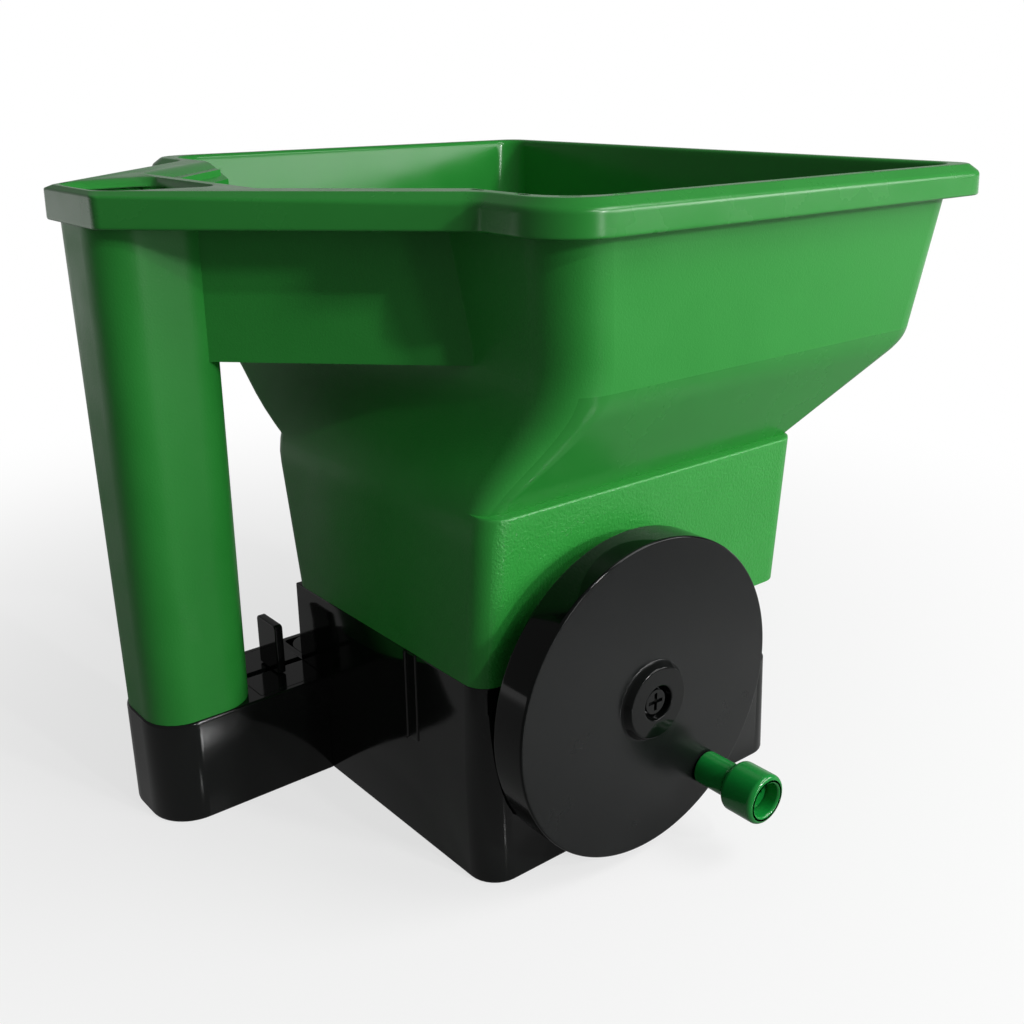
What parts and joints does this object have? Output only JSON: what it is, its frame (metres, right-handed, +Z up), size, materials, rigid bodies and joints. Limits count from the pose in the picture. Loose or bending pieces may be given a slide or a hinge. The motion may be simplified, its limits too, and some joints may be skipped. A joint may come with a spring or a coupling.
{
  "type": "handheld seed spreader",
  "caption": "Hand-cranked broadcast seed spreader: open hopper with a hollow handle tube, gear-driven spinner under the floor, sliding gate and a side crank wheel with knob.",
  "frame": {"origin": "on the table under the middle of the base, on the mid-plane of the handle tube and the rim", "axes": "+X forward to the discharge opening with the handle at -X, +Y across with the crank at -Y, +Z up out of the hopper"},
  "size_m": [0.277, 0.2899, 0.211],
  "materials": {
    "green_plastic": "moulded, satin with a fine sand-blast grain",
    "black_plastic": "moulded, glossy",
    "nylon": "moulded, natural",
    "steel": "zinc plated",
    "bronze": "sintered"
  },
  "bodies": {
    "frame": {"hopper": "green_plastic", "hopper_floor": "green_plastic", "handle_tube": "green_plastic", "base_housing": "black_plastic", "deck_plate": "black_plastic", "neck_cover": "black_plastic", "gate_guide": "black_plastic", "axle_bolt": "steel", "axle_washer": "steel", "axle_insert": "bronze", "bush_outer": "bronze", "bush_inner": "bronze", "thrust_washer": "bronze", "bush_lower": "bronze", "bush_deck": "bronze", "bush_floor": "bronze", "handle_screw": "steel", "hopper_screw_1": "steel", "hopper_screw_2": "steel", "hopper_screw_3": "steel", "hopper_screw_4": "steel", "deck_screw_1": "steel", "deck_screw_2": "steel", "deck_screw_3": "steel", "deck_screw_4": "steel", "guide_screw_1": "steel", "guide_screw_2": "steel", "guide_screw_3": "steel"},
    "wheel": {"crank_wheel": "black_plastic", "knob_screw": "steel"},
    "knob": {"crank_knob": "green_plastic"},
    "pinion": {"pinion_gear": "nylon", "pinion_shaft": "steel", "pinion_clip": "steel", "mitre_drive": "nylon"},
    "spinner": {"mitre_driven": "nylon", "spinner_shaft": "steel", "spinner_disc": "black_plastic", "spinner_clip": "steel", "agitator": "nylon"},
    "gate": {"gate_slide": "black_plastic"}
  },
  "joints": [
    {"name": "crank_spin", "type": "hinge", "parent": "frame", "child": "wheel", "pos_m": [-0.015, -0.125, 0.0581], "axis": [0, 1, 0], "continuous": true},
    {"name": "knob_spin", "type": "hinge", "parent": "wheel", "child": "knob", "pos_m": [0.0113, -0.14, 0.02383], "axis": [0, 1, 0], "continuous": true},
    {"name": "pinion_spin", "type": "hinge", "parent": "frame", "child": "pinion", "pos_m": [-0.004, -0.1, 0.02382], "axis": [0, 1, 0], "continuous": true},
    {"name": "spinner_spin", "type": "hinge", "parent": "frame", "child": "spinner", "pos_m": [-0.004, -0.052, 0.04], "axis": [0, 0, 1], "continuous": true},
    {"name": "gate_slide", "type": "slide", "parent": "frame", "child": "gate", "axis": [-1, 0, 0], "range_m": [0, 0.01]}
  ],
  "couplings": [
    {"joint": "pinion_spin", "follows": "crank_spin", "ratio": 5},
    {"joint": "spinner_spin", "follows": "crank_spin", "ratio": -5}
  ]
}
